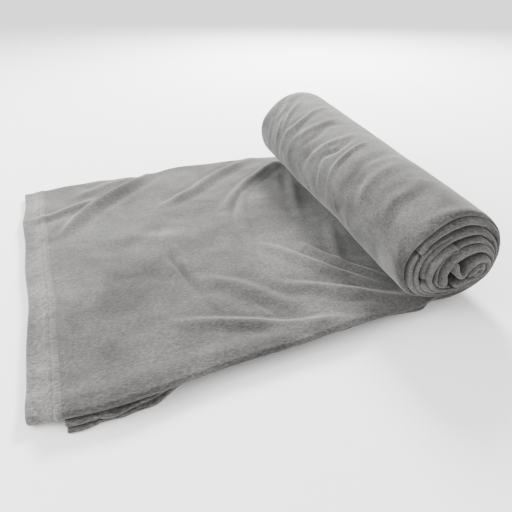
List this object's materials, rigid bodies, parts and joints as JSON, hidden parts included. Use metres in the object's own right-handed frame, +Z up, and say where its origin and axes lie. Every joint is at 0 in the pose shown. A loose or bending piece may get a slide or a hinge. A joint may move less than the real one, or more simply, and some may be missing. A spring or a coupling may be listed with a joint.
{
  "type": "folded throw blanket",
  "caption": "Plush throw blanket, folded lengthwise into a strip and rolled up from one end, with the hemmed other end lying flat.",
  "frame": {"origin": "under the middle of the whole blanket, on the surface it lies on", "axes": "+X along the strip from the flat hemmed end to the roll, +Y across the strip from the open near edge to the folded back edge, +Z up"},
  "size_m": [0.4286, 0.3972, 0.1069],
  "materials": {
    "plush": "short brushed pile, matt with a soft sheen",
    "hem": "turned and flattened pile, matt",
    "thread": "matt polyester sewing thread"
  },
  "bodies": {
    "laid_strip": {"leaf_1": "plush", "leaf_2": "plush", "leaf_3": "plush", "leaf_4": "plush", "near_fold": "plush", "back_fold_inner": "plush", "back_fold_outer": "plush", "end_hem_1": "hem", "end_hem_2": "hem", "end_hem_3": "hem", "end_hem_4": "hem", "side_hem_1": "hem", "side_hem_2": "hem", "end_stitch_1": "thread", "end_stitch_2": "thread", "end_stitch_3": "thread", "end_stitch_4": "thread", "side_stitch_1": "thread", "side_stitch_2": "thread"},
    "roll_foot": {"lead_in": "plush"},
    "wound_roll": {"outer_turn": "plush", "turn_2": "plush", "turn_3": "plush", "turn_4": "plush", "turn_5": "plush", "core_hem": "hem", "core_stitch": "thread"}
  },
  "joints": [
    {"name": "roll_up", "type": "slide", "parent": "laid_strip", "child": "roll_foot", "axis": [-1, 0, 0], "range_m": [0, 0.136]},
    {"name": "roll_turn", "type": "hinge", "parent": "roll_foot", "child": "wound_roll", "pos_m": [0.1237, -0.18637, 0.05145], "axis": [-0.1023, -0.9945, -0.0225], "range_deg": [0, 180]}
  ],
  "couplings": [
    {"joint": "roll_turn", "follows": "roll_up", "rad_per_m": 22.9}
  ]
}
